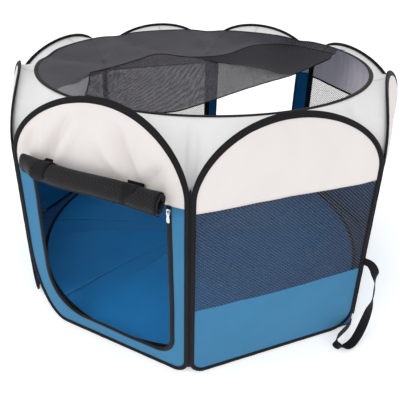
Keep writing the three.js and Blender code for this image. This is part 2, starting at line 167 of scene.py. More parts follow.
def fabric(name, colour, across=("X", "Z"), thread=0.0009, spread=0.05, roughness=0.78, sheen=0.15,
           bump=0.25, wrinkle=0.35, gloss=0.3):
    """Woven cloth: crossed threads, a little unevenness in its colour, and soft wrinkles."""
    made, add = material(name)
    coordinate, axes = axes_of(add)
    warp = stripes(add, axes[across[0]], thread * 2)
    weft = stripes(add, axes[across[1]], thread * 2)
    weave = maths(add, "MULTIPLY", warp, weft)
    fine = add("ShaderNodeTexNoise", {"Vector": coordinate, "Scale": 420.0, "Detail": 2.0})
    soft = add("ShaderNodeTexNoise", {"Vector": coordinate, "Scale": 16.0, "Detail": 5.0, "Roughness": 0.55})
    thread_bump = add(
        "ShaderNodeBump",
        {"Strength": bump, "Distance": 0.0004, "Height": maths(add, "ADD", weave, fine.outputs[0])},
    )
    fold_bump = add(
        "ShaderNodeBump",
        {"Strength": wrinkle, "Distance": 0.006, "Height": soft.outputs[0], "Normal": thread_bump.outputs[0]},
    )
    threads = add(
        "ShaderNodeMix",
        {
            0: maths(add, "MULTIPLY", weave, 0.5, clamp=True),
            6: mottled(add, coordinate, colour, spread, 9.0),
            7: colour4(colour, 0.86),
        },
        data_type="RGBA",
    )
    rough = add(
        "ShaderNodeMapRange",
        {"Value": soft.outputs[0], "To Min": roughness - 0.06, "To Max": roughness + 0.06},
    )
    shader = add(
        "ShaderNodeBsdfPrincipled",
        {
            "Base Color": threads.outputs[2],
            "Roughness": rough.outputs[0],
            "Sheen Weight": sheen,
            "Sheen Roughness": 0.5,
            "Specular IOR Level": gloss,
            "Normal": fold_bump.outputs[0],
        },
    )
    add("ShaderNodeOutputMaterial", {0: shader.outputs[0]})
    return made


HOLE_SHARPNESS = 8.0  # how suddenly a net's threads end at its holes


def net(name, colour, pitch, hole, across=("X", "Z"), clear=1.0, mottle=0.0, speckle=0.2, scale=30.0,
        painted_hole_shade=None, gloss=0.2, threads=None):
    """Knitted mesh: staggered round holes between threads, open or over a dark colour of painted shade, with
    threads that can carry painted highlights.
    """
    made, add = material(name)
    coordinate, axes = axes_of(add)
    across_wave = maths(add, "COSINE", maths(add, "MULTIPLY", axes[across[0]], math.tau / pitch[0]))
    along_wave = maths(add, "COSINE", maths(add, "MULTIPLY", axes[across[1]], math.tau / pitch[1]))
    lattice = maths(add, "MULTIPLY", across_wave, along_wave)
    noise = add("ShaderNodeTexNoise", {"Vector": coordinate, "Scale": 260.0, "Detail": 2.0})
    uneven = maths(add, "MULTIPLY", maths(add, "SUBTRACT", noise.outputs[0], 0.5), mottle)
    shifted = maths(add, "ADD", lattice, uneven)
    edge = maths(add, "MULTIPLY", maths(add, "SUBTRACT", shifted, hole), HOLE_SHARPNESS)
    opened = maths(add, "MULTIPLY", maths(add, "ADD", edge, 0.5, clamp=True), clear)
    height = maths(add, "MULTIPLY", lattice, -1.0)
    bump = add("ShaderNodeBump", {"Strength": 0.5, "Distance": 0.0006, "Height": height})
    base = mottled(add, coordinate, colour, speckle, scale)
    # Painted highlights and shade: the threads are drawn lighter and darker in diagonal streaks, between
    # these shares of the colour, for light on shiny thread.
    if threads:
        slope = maths(add, "ADD", maths(add, "DIVIDE", axes[across[0]], pitch[0]),
                      maths(add, "DIVIDE", axes[across[1]], pitch[1]))
        lit = maths(add, "MULTIPLY", maths(add, "ADD", stripes(add, slope, 1.0), 0.4), 1.4, clamp=True)
        base = add("ShaderNodeMix", {0: lit, 6: colour4(colour, threads[0]), 7: colour4(colour, threads[1])},
                   data_type="RGBA").outputs[2]
    # Painted shade: the holes are filled with a dark colour instead of being left open.
    if painted_hole_shade:
        base = add("ShaderNodeMix", {0: opened, 6: base, 7: colour4(painted_hole_shade)}, data_type="RGBA").outputs[2]
    shader = add(
        "ShaderNodeBsdfPrincipled",
        {
            "Base Color": base,
            "Roughness": 0.6,
            "Sheen Weight": 0.04,
            "Specular IOR Level": gloss,
            "Normal": bump.outputs[0],
        },
    )
    last = shader
    if not painted_hole_shade:
        clear_part = add("ShaderNodeBsdfTransparent")
        last = add("ShaderNodeMixShader", {0: opened, 1: shader.outputs[0], 2: clear_part.outputs[0]})
    add("ShaderNodeOutputMaterial", {0: last.outputs[0]})
    return made


def metal(name, colour, roughness):
    made, add = material(name)
    coordinate, _ = axes_of(add)
    scratches = add("ShaderNodeTexNoise", {"Vector": coordinate, "Scale": 900.0, "Detail": 3.0})
    rough = add(
        "ShaderNodeMapRange",
        {"Value": scratches.outputs[0], "To Min": roughness - 0.08, "To Max": roughness + 0.12},
    )
    bump = add("ShaderNodeBump", {"Strength": 0.15, "Distance": 0.0002, "Height": scratches.outputs[0]})
    shader = add(
        "ShaderNodeBsdfPrincipled",
        {
            "Base Color": mottled(add, coordinate, colour, 0.06, 200.0),
            "Metallic": 1.0,
            "Roughness": rough.outputs[0],
            "Normal": bump.outputs[0],
        },
    )
    add("ShaderNodeOutputMaterial", {0: shader.outputs[0]})
    return made


LIGHT = fabric("light_cloth", (0.765, 0.720, 0.705), spread=0.02, sheen=0.1)
# The light cloth's inside is a darker, lavender copy of it: painted shade, and painted light shining through
# the cloth.
LIGHT_INSIDE_SHADED = fabric("light_cloth_inside_shaded", (0.70, 0.64, 0.685), spread=0.03)
YOKE = fabric("yoke_cloth", (0.79, 0.79, 0.79), across=("X", "Y"), spread=0.02, sheen=0.1)
BLUE = fabric("blue_cloth", (0.037, 0.198, 0.375), spread=0.05, sheen=0.06)
# The blue cloth's inside is darker and more saturated: partly its own coated side, partly painted shade.
BLUE_INSIDE_COATING_AND_SHADE = fabric("blue_cloth_inside_coating_and_shade", (0.002, 0.110, 0.29), spread=0.06, sheen=0.02, gloss=0.15)
FLOOR = fabric("floor_cloth", (0.005, 0.210, 0.55), across=("X", "Y"), spread=0.06, roughness=0.5, sheen=0.03,
               gloss=0.35)
# A darker blue than the floor panel, for the border outside the floor's round tape and for the cloth behind
# the rounded feet.
BORDER = fabric("floor_border_cloth", (0.005, 0.10, 0.28), across=("X", "Y"), spread=0.05, sheen=0.05)
BINDING = fabric("binding_tape", (0.0085, 0.008, 0.010), thread=0.0007, spread=0.2, roughness=0.7, sheen=0.02,
                 bump=0.4, wrinkle=0.2, gloss=0.15)
WEBBING = fabric("black_webbing", (0.0085, 0.008, 0.0095), thread=0.0012, spread=0.2, roughness=0.7,
                 sheen=0.02, bump=0.6, gloss=0.15)
ZIP = fabric("zip_tape_black", (0.009, 0.0085, 0.010), thread=0.0006, spread=0.2, roughness=0.6, sheen=0.02,
             bump=0.5, gloss=0.2)
# The window's threads carry painted highlights and shade in diagonal streaks.
WINDOW = net("window_net", (0.036, 0.034, 0.0355), (0.0082, 0.0076), 0.02, threads=(0.3, 2.2))
# The roll's holes are painted near black: painted shade for the inside of the roll.
ROLL = net("rolled_net", (0.0115, 0.011, 0.013), (0.0088, 0.0080), 0.1, painted_hole_shade=(0.004, 0.004, 0.005))
COVER = net("cover_net", (0.046, 0.043, 0.055), (0.0036, 0.0036), 0.45, across=("X", "Y"), clear=0.30,
            mottle=1.4, speckle=0.12, scale=60.0)
# The belly's net is darker and less open than the cover's: partly its doubled layers, partly painted shade.
BELLY_DOUBLED_AND_SHADED = net("cover_net_double_and_shaded", (0.014, 0.0135, 0.019), (0.0036, 0.0036), 0.45, across=("X", "Y"), clear=0.12,
            mottle=1.4, speckle=0.15, scale=60.0)
SHEER = net("cover_net_single", (0.060, 0.056, 0.068), (0.0036, 0.0036), 0.1, across=("X", "Y"), clear=0.6,
            mottle=1.0, speckle=0.15, scale=60.0)
CURTAIN = net("cover_net_hanging", (0.045, 0.042, 0.052), (0.0066, 0.0060), 0.38, across=("X", "Y"),
              clear=0.38, mottle=1.6, speckle=0.85, scale=170.0)
STEEL = metal("spring_steel", (0.55, 0.55, 0.57), 0.35)
ZINC = metal("zip_zinc", (0.72, 0.71, 0.70), 0.3)


# ---------------------------------------------------------------- shapes

def link(name, points, faces, *materials, matrix=None, body=None):
    """A new mesh in the scene, in a wall's own place if it has a matrix, and on a body if it has one."""
    mesh = bpy.data.meshes.new(name)
    mesh.from_pydata([tuple(map(float, p)) for p in points], [], faces)
    mesh.validate()
    mesh.polygons.foreach_set("use_smooth", [True] * len(mesh.polygons))
    for each in materials:
        mesh.materials.append(each)
    piece = bpy.data.objects.new(name, mesh)
    scene.collection.objects.link(piece)
    if matrix is not None:
        piece.matrix_world = matrix
    if body:
        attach(piece, body)
    return piece


def grid_faces(rows, columns, round_rows=False, round_columns=False):
    faces = []
    for i in range(rows if round_rows else rows - 1):
        for j in range(columns if round_columns else columns - 1):
            k, m = (i + 1) % rows, (j + 1) % columns
            faces.append((i * columns + j, i * columns + m, k * columns + m, k * columns + j))
    return faces


def grid(name, points, *materials, **rest):
    """A sheet through rows of points."""
    return link(name, points.reshape(-1, 3), grid_faces(*points.shape[:2]), *materials, **rest)


def thicken(piece, thickness, offset=0.0, inside=0):
    made = piece.modifiers.new("thickness", "SOLIDIFY")
    made.thickness = thickness
    made.offset = offset
    made.material_offset = inside
    return piece


def wall_matrix(number):
    """A wall's own place: x along it and y into the pen, from the middle of its foot."""
    turn = Matrix.Rotation((number - 1) * STEP, 4, "Z")
    return turn @ Matrix.Translation((0, -APOTHEM, 0))


def polar(radius, azimuth, height):
    return np.stack(np.broadcast_arrays(radius * np.sin(azimuth), -radius * np.cos(azimuth), height), -1)


def smooth(value):
    value = np.clip(value, 0, 1)
    return value * value * (3 - 2 * value)


def waves(x, y, seed, size):
    """Gentle unevenness between -1 and 1, the same at each run."""
    random = np.random.default_rng(seed)
    total = 0.0
    for _ in range(7):
        angle, phase = random.uniform(0, math.tau, 2)
        length = size * random.uniform(0.6, 1.7)
        total = total + np.sin((x * math.cos(angle) + y * math.sin(angle)) * math.tau / length + phase)
    return total / 4


def lean(z):
    return LEAN * np.clip((z - SPRING) / RISE, 0, None) ** LEAN_POWER


def feet(number, side):
    """How wide and how high the curve at a hoop's foot is."""
    return WIDE_FEET.get((number, side), (FOOT, FOOT))


def hoop_width(number, side, z, inset):
    """From a wall's middle line to its hoop at a height, so far in from the wire."""
    half, rise = HOOP_HALF - inset, RISES.get(number, RISE) - inset
    wide, high = (size - inset for size in feet(number, side))
    z = np.asarray(z, float)
    arch = half * np.sqrt(np.clip(1 - ((z - SPRING) / rise) ** 2, 0, 1))
    low = np.clip((TAPE_OUT + high + inset - z) / high, 0, 1)
    corner = half - wide + wide * np.sqrt(1 - low**2)
    return np.where(z > SPRING, arch, corner)


def ridge(x, z, start, end, width, height):
    """A soft fold along a line."""
    a, b = np.array(start), np.array(end)
    d = b - a
    share = np.clip(((x - a[0]) * d[0] + (z - a[1]) * d[1]) / (d @ d), 0, 1)
    away = np.hypot(x - a[0] - share * d[0], z - a[1] - share * d[1])
    return height * np.exp(-((away / width) ** 2)) * np.sin(np.pi * np.clip(share, 0.08, 0.92))


# Soft folds in the doors' upper fabric: from, to, width, height
FOLDS = [
    ((-0.118, 0.462), (-0.055, 0.590), 0.010, 0.009),
    ((-0.095, 0.462), (-0.030, 0.575), 0.012, -0.007),
    ((-0.125, 0.462), (-0.115, 0.560), 0.011, -0.006),
    ((0.040, 0.590), (0.112, 0.462), 0.013, 0.009),
    ((0.075, 0.580), (0.130, 0.455), 0.011, -0.008),
    ((0.000, 0.560), (0.085, 0.462), 0.012, -0.006),
    ((0.120, 0.460), (0.165, 0.520), 0.012, 0.006),
    ((-0.190, 0.450), (-0.150, 0.545), 0.012, 0.006),
]
FOLD_DEPTH = 1.6  # how much deeper than their heights they are drawn
PLEATED = (3, 4)  # the walls whose upper cloth hangs in small pleats


def billow(number, x, z):
    """How far a wall's cloth stands in from its hoop's plane."""
    side = np.where(np.asarray(x) < 0, hoop_width(number, -1, z, 0), hoop_width(number, 1, z, 0))
    top = SPRING + RISES.get(number, RISE)
    edge = np.minimum(side - np.abs(x), np.minimum(z, top - z))
    held = smooth(edge / 0.05)
    rise = 0.0022 * waves(x, z, number, 0.28) + 0.0008 * waves(x, z, number + 20, 0.09)
    if number in DOORS:
        for fold in FOLDS:
            rise = rise + FOLD_DEPTH * ridge(x, z, *fold)
    if number in PLEATED:
        hang = smooth((0.575 - z) / 0.05) * smooth((z - UPPER_SEAM) / 0.02)
        rise = rise + 0.0022 * hang * np.sin(x * 235 + 2.0 * waves(x, z, number + 60, 0.15))
    return held * (rise - 0.002)


def wall_points(number, x, z, out=0.0):
    """Places on a wall's cloth, or so far outside it."""
    return np.stack(np.broadcast_arrays(x, lean(z) + billow(number, x, z) - out, z), -1)


EDGE = 0.0032  # hoop wire to the cloth's edge, inside the binding


def wall_sheet(number, name, bottom, top, rows, *materials):
    """Cloth from one side of a hoop to the other, between two heights."""
    across = np.linspace(-1, 1, 81 if number in PLEATED else 41)
    across = across * (1.25 - 0.25 * across**2)
    if top > SPRING:
        z = bottom + (top - bottom) * np.sin(np.linspace(0, math.pi / 2, rows))
    else:
        z = bottom + (top - bottom) * (1 - np.cos(np.linspace(0, math.pi, rows))) / 2
    left, right = (np.maximum(hoop_width(number, side, z, EDGE), 0.002)[:, None] for side in (-1, 1))
    x = np.where(across < 0, left, right) * across
    points = wall_points(number, x, np.repeat(z[:, None], len(across), 1))
    return grid(name, points, *materials, matrix=wall_matrix(number), body=f"wall_{number}")


def hoop_half(number, side):
    """Half of a hoop, from its foot to its top: x, z, and the direction that points out of it."""
    wide, high = feet(number, side)
    rise = RISES.get(number, RISE)
    places = []
    for angle in np.linspace(-math.pi / 2, 0, 13)[:-1]:
        c, s = math.cos(angle), math.sin(angle)
        out = Vector((c / wide, s / high)).normalized()
        places.append((HOOP_HALF - wide + wide * c, TAPE_OUT + high + high * s, *out))
    for z in np.linspace(TAPE_OUT + high, SPRING, 24)[:-1]:
        places.append((HOOP_HALF, z, 1.0, 0.0))
    for angle in np.linspace(0, math.pi / 2, 31):
        c, s = math.cos(angle), math.sin(angle)
        out = Vector((c / HOOP_HALF, s / rise)).normalized()
        places.append((HOOP_HALF * c, SPRING + rise * s, *out))
    return np.array(places) * [side, 1, side, 1]


def hoop_path(number):
    """A whole hoop: up its right side, over the top, down the left, and back along the ground."""
    right, left = hoop_half(number, 1), hoop_half(number, -1)
    low = [(x, TAPE_OUT, 0.0, -1.0) for x in np.linspace(left[0, 0], right[0, 0], 26)[1:-1]]
    return np.vstack([right, left[:-1][::-1], low])


# How the tape lies round the wire: a share of its depth, and so far across the wall
SECTION = [
    (1.0, -0.0017), (0.94, -0.0023), (0.84, -0.0025), (0.76, -0.0019), (0.68, -0.0025), (0.35, -0.0026),
    (0.12, -0.0024), (0.03, -0.0014), (0.0, 0.0),
]
SECTION = SECTION + [(share, -across) for share, across in SECTION[-2::-1]]


def round_hoop(number, name, section, made):
    """A closed skin round a wall's hoop; the section gives (outwards, across) at each place."""
    rows = []
    for i, (x, z, ox, oz) in enumerate(hoop_path(number)):
        rows.append([
            (x + ox * out, float(lean(z + oz * out)) + across, z + oz * out) for out, across in section(i, z)
        ])
    points = np.array(rows)
    count, ring = points.shape[:2]
    return link(
        name, points.reshape(-1, 3), grid_faces(count, ring, True, True), made,
        matrix=wall_matrix(number), body=f"wall_{number}",
    )


def binding(number):
    """A hoop's tape, with a few puckers, and the spring wire inside it."""
    def tape(i, z):
        depth = 0.0098 + 0.0028 * smooth((z - 0.44) / 0.07)
        pucker = 1 + 0.05 * math.sin(i * 2.4 + number) + 0.04 * math.sin(i * 1.1)
        return [(TAPE_OUT - share * depth, across * pucker) for share, across in SECTION]

    piece = round_hoop(number, f"binding_{number}", tape, BINDING)
    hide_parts(f"hoop_binding_{number}")
    turns = np.linspace(0, math.tau, 9)[:-1]
    ring = [(WIRE_RADIUS * math.cos(turn), WIRE_RADIUS * math.sin(turn)) for turn in turns]
    wire = round_hoop(number, f"wire_{number}", lambda i, z: ring, STEEL)
    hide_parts(f"hoop_wire_{number}")


# ---------------------------------------------------------------- doors

# The doorway: its sides and where they bend, its sill, and the radii of its wide and its tight corner
DOOR = dict(left=-0.161, left_top=-0.165, right=0.180, right_top=0.176, sill=0.045, bend=0.160, wide=0.092,
            tight=0.046, slant=0.190)


def arc(middle, radii, start, end, count):
    angles = np.linspace(start, end, count)
    return np.stack([middle[0] + radii[0] * np.cos(angles), middle[1] + radii[1] * np.sin(angles)], -1)


def line(a, b, count):
    return np.linspace(a, b, count)


def door_sections():
    """The doorway's edge from its top left to its top right, in five stretches."""
    d = DOOR
    turn = d["left"] + d["wide"]
    left = line((d["left_top"], DOOR_SEAM), (d["left"], d["bend"]), 20)
    wide = arc((turn, d["bend"]), (d["wide"], d["bend"] - d["sill"]), math.pi, 1.5 * math.pi, 22)
    low = line((turn, d["sill"]), (d["right"] - d["tight"], d["sill"]), 12)
    tight = arc((d["right"] - d["tight"], d["sill"] + d["tight"]), (d["tight"],) * 2, -math.pi / 2, 0, 12)
    slant = [
        line((d["right"], d["sill"] + d["tight"]), (d["right"], d["slant"]), 7)[:-1],
        line((d["right"], d["slant"]), (d["right_top"], DOOR_SEAM), 13),
    ]
    return [left, wide, low, tight, np.vstack(slant)]


def joined(sections):
    return np.vstack([sections[0]] + [part[1:] for part in sections[1:]])


def foot_sections(number, counts):
    """The hoop's inner edge beside the doorway, in as many stretches and points."""
    half, floor = HOOP_HALF - EDGE, TAPE_OUT + EDGE
    wide, high = (size - EDGE for size in feet(number, -1))
    foot, turn = FOOT - EDGE, DOOR["left"] + DOOR["wide"]
    left = line((-half, DOOR_SEAM), (-half, floor + high + 0.012), counts[0])
    corner = np.vstack([
        [(-half, floor + high + 0.012)],
        arc((-half + wide, floor + high), (wide, high), math.pi, 1.5 * math.pi, counts[1] - 3),
        line((-half + wide, floor), (turn, floor), 3)[1:],
    ])
    low = line((turn, floor), (half - foot - 0.02, floor), counts[2])
    tight = np.vstack([
        line((half - foot - 0.02, floor), (half - foot, floor), 3)[:-1],
        arc((half - foot, floor + foot), (foot, foot), -math.pi / 2, 0, counts[3] - 2),
    ])
    right = line((half, floor + foot), (half, DOOR_SEAM), counts[4])
    return [left, corner, low, tight, right]


def surround(number, side):
    """The blue cloth between a doorway and its hoop."""
    inner = door_sections()
    outer = joined(foot_sections(number, [len(part) for part in inner]))
    inner = joined(inner)
    shares = np.linspace(0, 1, 6)
    xz = inner[:, None] * (1 - shares)[None, :, None] + outer[:, None] * shares[None, :, None]
    piece = grid(
        f"{side}_surround", wall_points(number, xz[..., 0], xz[..., 1]), BLUE, BLUE_INSIDE_COATING_AND_SHADE,
        matrix=wall_matrix(number), body=f"wall_{number}",
    )
    thicken(piece, 0.001, inside=1)
    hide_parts(f"{side}_door_surround")


def normals_of(path):
    """The direction across a line, at each of its points."""
    along = np.gradient(path, axis=0)
    along /= np.linalg.norm(along, axis=1)[:, None]
    return np.stack([along[:, 1], -along[:, 0]], -1)


# A zip from one edge of its tape to the other: so far across, and so far out
ZIP_SECTION = [(-0.0052, 0.0002), (-0.0046, 0.0009), (-0.0020, 0.0009), (-0.0012, 0.0020), (0.0, 0.0024),
               (0.0012, 0.0020), (0.0020, 0.0009), (0.0046, 0.0009), (0.0052, 0.0002)]


def door_zip(number, side):
    """The zip along a doorway's edge."""
    path = joined(door_sections())
    across = normals_of(path)
    rows = []
    for reach, out in ZIP_SECTION:
        xz = path + across * reach
        rows.append(wall_points(number, xz[:, 0], xz[:, 1], 0.0007 + out))
    piece = grid(
        f"{side}_zip", np.stack(rows, 1), ZIP, matrix=wall_matrix(number), body=f"wall_{number}"
    )
    thicken(piece, 0.0008)
    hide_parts(f"{side}_door_zip")


ROLL_RADIUS = 0.0225
ROLL_MIDDLE = (-0.0256, 0.4535)
ROLL_ENDS = (-0.172, 0.172)
TIES = {"left": -0.109, "right": 0.104}


def door_roll(number, side):
    """The rolled-up flap: a loose spiral, narrower at its ties, with a dark hem at its outer end."""
    turns = 3.7
    angle = np.linspace(-turns * math.tau, 0, 130) - 1.9
    spiral = np.linspace(0.42, 1.0, 130)
    along = np.linspace(*ROLL_ENDS, 60)
    x, share = np.meshgrid(along, spiral, indexing="ij")
    turn = np.meshgrid(along, angle, indexing="ij")[1]
    squeeze = sum(np.exp(-(((x - place) / 0.022) ** 2)) for place in TIES.values())
    end = smooth((x - ROLL_ENDS[1] + 0.03) / 0.03)
    tucked = smooth((ROLL_ENDS[0] + 0.060 - x) / 0.060)
    radius = ROLL_RADIUS * share * (1 - 0.04 * squeeze + 0.03 * waves(x, turn * 0.02, 5, 0.12) + 0.05 * end)
    sag = 0.003 * waves(x, 0 * x, 9, 0.3) + 0.004 * x
    points = np.stack([
        x + 0.003 * waves(turn * 0.03, 0 * x, 3, 0.2) * (np.abs(x) / 0.2),
        ROLL_MIDDLE[0] + 0.009 * tucked + radius * np.cos(turn) * (1 - 0.42 * tucked),
        ROLL_MIDDLE[1] + radius * np.sin(turn) * 0.98 + sag,
    ], -1)
    piece = grid(f"{side}_flap_roll", points, ROLL, matrix=wall_matrix(number), body=f"wall_{number}")
    thicken(piece, 0.0012)
    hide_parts(f"{side}_door_flap_roll")
    hem = points[:, -5:]
    out = hem - np.array([0, *ROLL_MIDDLE])
    out[..., 0] = 0
    hem = hem + 0.0005 * out / np.linalg.norm(out, axis=2)[..., None]
    edge = grid(f"{side}_flap_hem", hem, BINDING, matrix=wall_matrix(number), body=f"wall_{number}")
    thicken(edge, 0.0012)


def door_tie(number, side, end):
    """A tab of webbing sewn above the roll, and its turn round it."""
    place = TIES[end]
    reach = ROLL_RADIUS - 0.0009
    start = math.atan2(0.010, 0.0205)
    angles = np.linspace(start, start + math.tau - 0.4, 34)
    drop = 0.004 * place
    ring = np.stack([
        ROLL_MIDDLE[0] + reach * np.cos(angles),
        ROLL_MIDDLE[1] + reach * np.sin(angles) * 0.98 + drop,
    ], -1)
    tab = line((-0.0016, 0.4705), (-0.0026, 0.4650), 4)
    path = np.vstack([tab, ring])
    x = np.linspace(-0.019, 0.019, 7) + place
    points = np.stack(np.broadcast_arrays(x[None, :], path[:, 0][:, None], path[:, 1][:, None]), -1).copy()
    piece = grid(
        f"{side}_tie_{end}", points, WEBBING, matrix=wall_matrix(number), body=f"wall_{number}"
    )
    thicken(piece, 0.0008)
    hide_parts(f"{side}_door_tie_{end}")


# ---------------------------------------------------------------- walls

for number in WALLS:
    binding(number)
    top = SPRING + RISES.get(number, RISE) - EDGE
    seam = DOOR_SEAM if number in DOORS else UPPER_SEAM
    upper = wall_sheet(number, f"upper_{number}", seam, top, 30, LIGHT, LIGHT_INSIDE_SHADED)
    thicken(upper, 0.001, inside=1)
    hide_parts(f"upper_fabric_{number}")
    if number in DOORS:
        side = DOORS[number]
        surround(number, side)
        door_zip(number, side)
        door_roll(number, side)
        for end in TIES:
            door_tie(number, side, end)
    else:
        window = wall_sheet(number, f"window_{number}", LOWER_SEAM, UPPER_SEAM, 26, WINDOW)
        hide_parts(f"mesh_window_{number}")
        lower = wall_sheet(number, f"lower_{number}", TAPE_OUT + EDGE, LOWER_SEAM, 22, BLUE, BLUE_INSIDE_COATING_AND_SHADE)
        thicken(lower, 0.001, inside=1)
        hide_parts(f"lower_fabric_{number}")


def seam_strip(number):
    """The dark tape inside the seam between a window and the light cloth."""
    reach = HOOP_HALF - 0.006
    x = np.linspace(-reach, reach, 41)
    heights = UPPER_SEAM + np.array([-0.003, -0.001, 0.001, 0.003])
    rows = [wall_points(number, x, np.full(len(x), z), -0.0012) for z in heights]
    strip = grid(
        f"seam_strip_{number}", np.stack(rows), BINDING, matrix=wall_matrix(number), body=f"wall_{number}"
    )
    thicken(strip, 0.0008)


for number in set(WALLS) - set(DOORS):
    seam_strip(number)

# The sliders and their pulls are the CAD model's own, in zinc
for name, node in nodes.items():
    if name.endswith(("slider", "pull")):
        node.data.materials.clear()
        node.data.materials.append(ZINC)
        bevel = node.modifiers.new("edges", "BEVEL")
        bevel.width = 0.0002
        bevel.segments = 2


# ---------------------------------------------------------------- corner seams, yoke and top zip

def seam_azimuth(number):
    return (number - 0.5) * STEP


def across_seam(piece, number):
    """The piece stays fixed at a seam: its place is baked into its mesh."""
    azimuth = seam_azimuth(number)
    middle = Vector(polar(RADIUS, azimuth, 0.3))
    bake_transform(piece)


def seam_parts(number, count):
    """A seam piece's first and last columns: all of them, or two halves at the open seam."""
    if number != OPEN_SEAM:
        return [(0, count, "")]
    middle = count // 2
    return [(0, middle + 1, "_before"), (middle, count, "_after")]


def hold_at_seam(piece, number, suffix):
    """A narrow piece stays fixed at its seam; a half of one rides on its own wall."""
    if not suffix:
        across_seam(piece, number)
    else:
        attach(piece, f"wall_{number if suffix == '_before' else number % 8 + 1}")


def flatten(piece, number, distance, height=0.0):
    """The piece rides on its wall, with a mesh of its own; the anchor found from distance and height is not
    used.
    """
    azimuth = (number - 1) * STEP
    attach(piece, f"wall_{number}")
    anchor = tuple(float(c) for c in polar(distance, azimuth, height))
    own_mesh(piece)


# Where the tapes start above the ground, by seam, and where they end
TAPE_STARTS, TAPE_START, TAPE_END = {2: 0.040, 8: 0.165}, 0.024, 0.482


def seam_tapes():
    """The thin dark tapes on the corner seams, from the feet to where the arches begin."""
    for number in WALLS:
        azimuth = seam_azimuth(number)
        side = np.array([math.cos(azimuth), math.sin(azimuth), 0])
        heights = np.linspace(TAPE_STARTS.get(number, TAPE_START), TAPE_END, 40)
        narrow = 1 - 0.75 * smooth((heights - 0.452) / 0.03)
        if number == 8:
            narrow *= 0.35 + 0.65 * smooth((heights - heights[0]) / 0.04)
        across = narrow[:, None] * np.linspace(-0.0042, 0.0042, 7)
        middle = polar(RADIUS - 0.0012, azimuth, heights)
        outwards = polar(1.0, azimuth, 0.0)
        points = middle[:, None] + across[..., None] * side - (across**2 * 90)[..., None] * outwards
        for first, last, suffix in seam_parts(number, 7):
            piece = thicken(grid(f"seam_tape_{number}{suffix}", points[:, first:last], BINDING), 0.0010)
            hold_at_seam(piece, number, suffix)


def foot_cloth():
    """The blue cloth that closes each seam behind the rounded feet."""
    for number in sorted(set(WALLS) - {1, 8}):
        azimuth = seam_azimuth(number)
        middle = polar(RADIUS - 0.004, azimuth, 0.0)
        rise = np.linspace(0.003, 0.052, 6)
        reach = np.linspace(-0.046, 0.046, 13)
        rows = []
        for away in reach:
            turned = azimuth + (math.pi / 2 + STEP / 2) * (1 if away > 0 else -1)
            rows.append([middle + polar(abs(away), turned, 0.0) + (0, 0, height) for height in rise])
        points = np.array(rows)
        for first, last, suffix in seam_parts(number, len(reach)):
            piece = thicken(grid(f"foot_cloth_{number}{suffix}", points[first:last], BORDER), 0.0008)
            hold_at_seam(piece, number, suffix)


YOKE_INSET = 0.0075  # hoop wire to the yoke's sewn edge


def arch_edge(number, angle, side):
    """A point of the yoke's edge on a wall's binding, inside the pen, from the wall's own place."""
    c, s = math.cos(angle), math.sin(angle)
    rise = RISES.get(number, RISE)
    out = Vector((c / HOOP_HALF, s / rise)).normalized()
    x, z = HOOP_HALF * c - out[0] * YOKE_INSET, SPRING + rise * s - out[1] * YOKE_INSET
    return Vector((side * x, float(lean(z)) + 0.0032, z))


def ring_height(azimuth):
    """The top zip dips at the yoke's seams where the cover is zipped to it."""
    dip = 0.0
    for number in (4, 5, 6, 7):
        away = (azimuth - seam_azimuth(number) + math.pi) % math.tau - math.pi
        dip = dip + np.exp(-((away / 0.10) ** 2))
    return RING_HEIGHT - 0.006 * dip


YOKE_EDGE = RING + 0.0045
LOWEST = math.radians(7)


def yoke_rows(number):
    """Rows from the arches to the top zip, from the middle of one wall to the middle of the next."""
    lower = []
    angles = np.linspace(math.pi / 2, LOWEST, 26)
    for wall, turned, side in ((number, angles, 1), (number % 8 + 1, angles[::-1], -1)):
        matrix = wall_matrix(wall)
        lower += [np.array(matrix @ arch_edge(wall, angle, side)) for angle in turned]
    lower = np.array(lower)
    centre = seam_azimuth(number)
    azimuth = np.arctan2(lower[:, 0], -lower[:, 1])
    azimuth = centre + (azimuth - centre + math.pi) % math.tau - math.pi
    upper = polar(YOKE_EDGE, azimuth, ring_height(azimuth) + 0.0002)
    shares = np.linspace(0, 1, 14)
    rows = lower[:, None] * (1 - shares)[None, :, None] + upper[:, None] * shares[None, :, None]
    span = np.linalg.norm(upper - lower, axis=1)
    hollow = np.sin(np.pi * shares)[None, :] * (span * 0.055)[:, None]
    near = np.exp(-(((azimuth - centre) / 0.16) ** 2))
    crumple = near[:, None] * (1 - shares)[None, :] * 0.0024
    crumple = crumple * np.sin(azimuth * 190 + number)[:, None] * smooth(shares * 6)[None, :]
    radial = polar(1.0, azimuth, 0.0)
    rows = rows - radial[:, None] * (hollow + crumple)[..., None] * 0.6
    rows[..., 2] -= hollow * 0.8 - crumple
    return rows, azimuth


def yoke():
    """The light cloth from the arches in to the top opening, and the zip round that."""
    for number in WALLS:
        rows, azimuth = yoke_rows(number)
        half = len(rows) // 2
        ring_azimuth = np.linspace(azimuth[0], azimuth[-1], 53)
        ring = np.stack([
            polar(RING + across, ring_azimuth, ring_height(ring_azimuth) + 0.0005 + out * 0.8)
            for across, out in ZIP_SECTION
        ], 1)
        if number == OPEN_SEAM:
            parts = [
                (rows[: half + 1], ring[:27], "_before", number),
                (rows[half:], ring[26:], "_after", number + 1),
            ]
            parts[0][0][-1] = parts[1][0][0] = (rows[half - 1] + rows[half]) / 2
        else:
            parts = [(rows, ring, "", number)]
        for cloth_rows, zip_rows, suffix, wall in parts:
            piece = thicken(grid(f"yoke_{number}{suffix}", cloth_rows, YOKE), 0.001)
            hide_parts("yoke")
            tape = thicken(grid(f"top_zip_{number}{suffix}", zip_rows, ZIP), 0.0009)
            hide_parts("top_zip_ring")
            for each in (piece, tape):
                if suffix:
                    flatten(each, wall, APOTHEM)
                else:
                    across_seam(each, number)


seam_tapes()
foot_cloth()
yoke()


# ---------------------------------------------------------------- mesh cover

